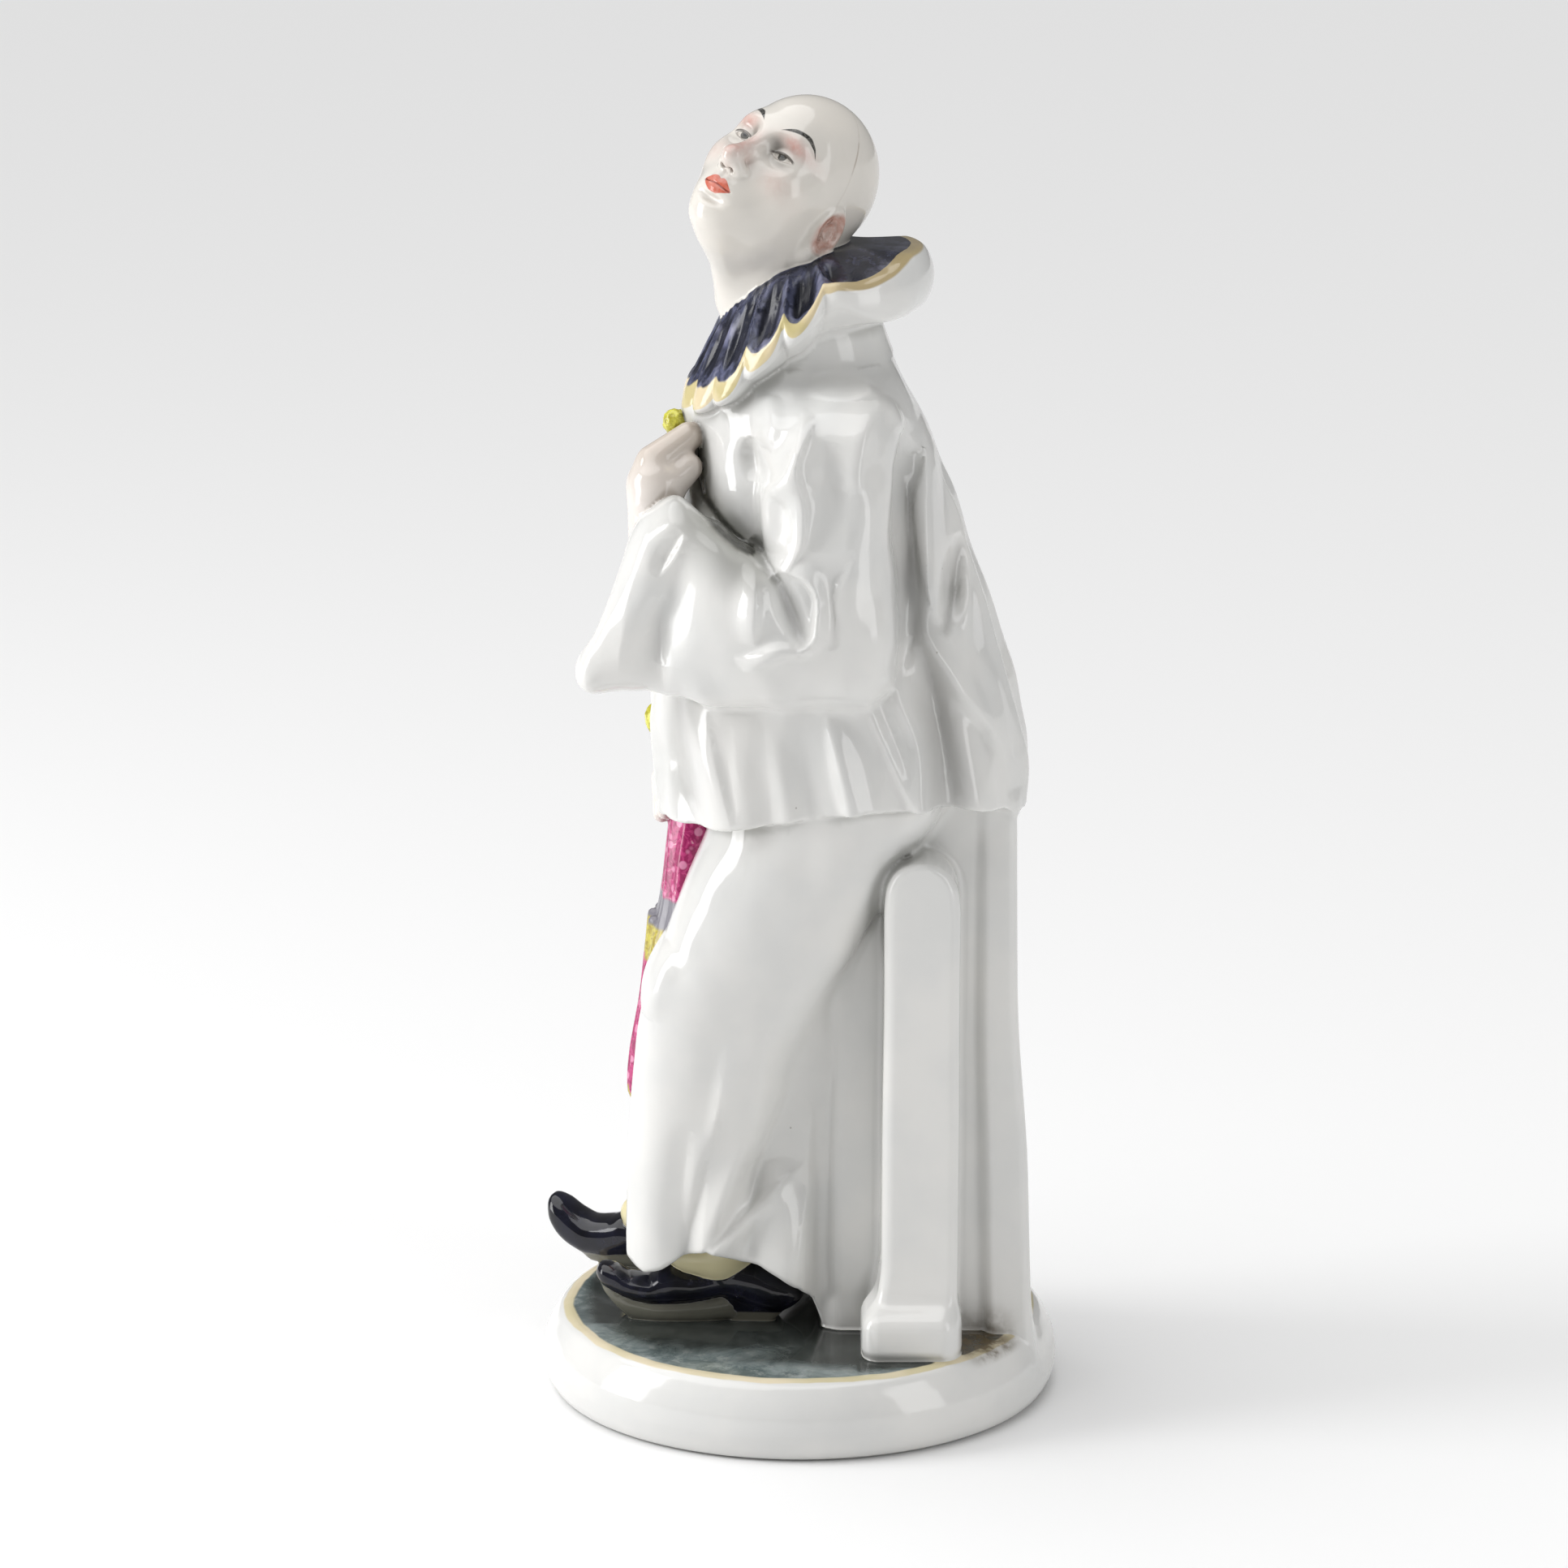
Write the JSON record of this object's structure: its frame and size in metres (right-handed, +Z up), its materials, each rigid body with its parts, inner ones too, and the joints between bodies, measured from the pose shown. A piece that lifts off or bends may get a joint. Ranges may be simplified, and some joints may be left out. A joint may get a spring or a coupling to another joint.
{
  "type": "pierrot figurine",
  "caption": "Glazed porcelain pierrot in a wide smock and ruff, looking up with a hand on its chest, standing against a low wall on a round base.",
  "frame": {"origin": "centre of the round base at its underside", "axes": "+X towards the figure's left, -Y the way its chest and feet face, +Z up"},
  "size_m": [0.1054, 0.1059, 0.2656],
  "materials": {
    "glazed_porcelain": "clear gloss glaze over white porcelain, hand-painted in navy, black, magenta, grey-green and flesh tints"
  },
  "bodies": {
    "root": {"pierrot_figurine": "glazed_porcelain"}
  },
  "joints": []
}
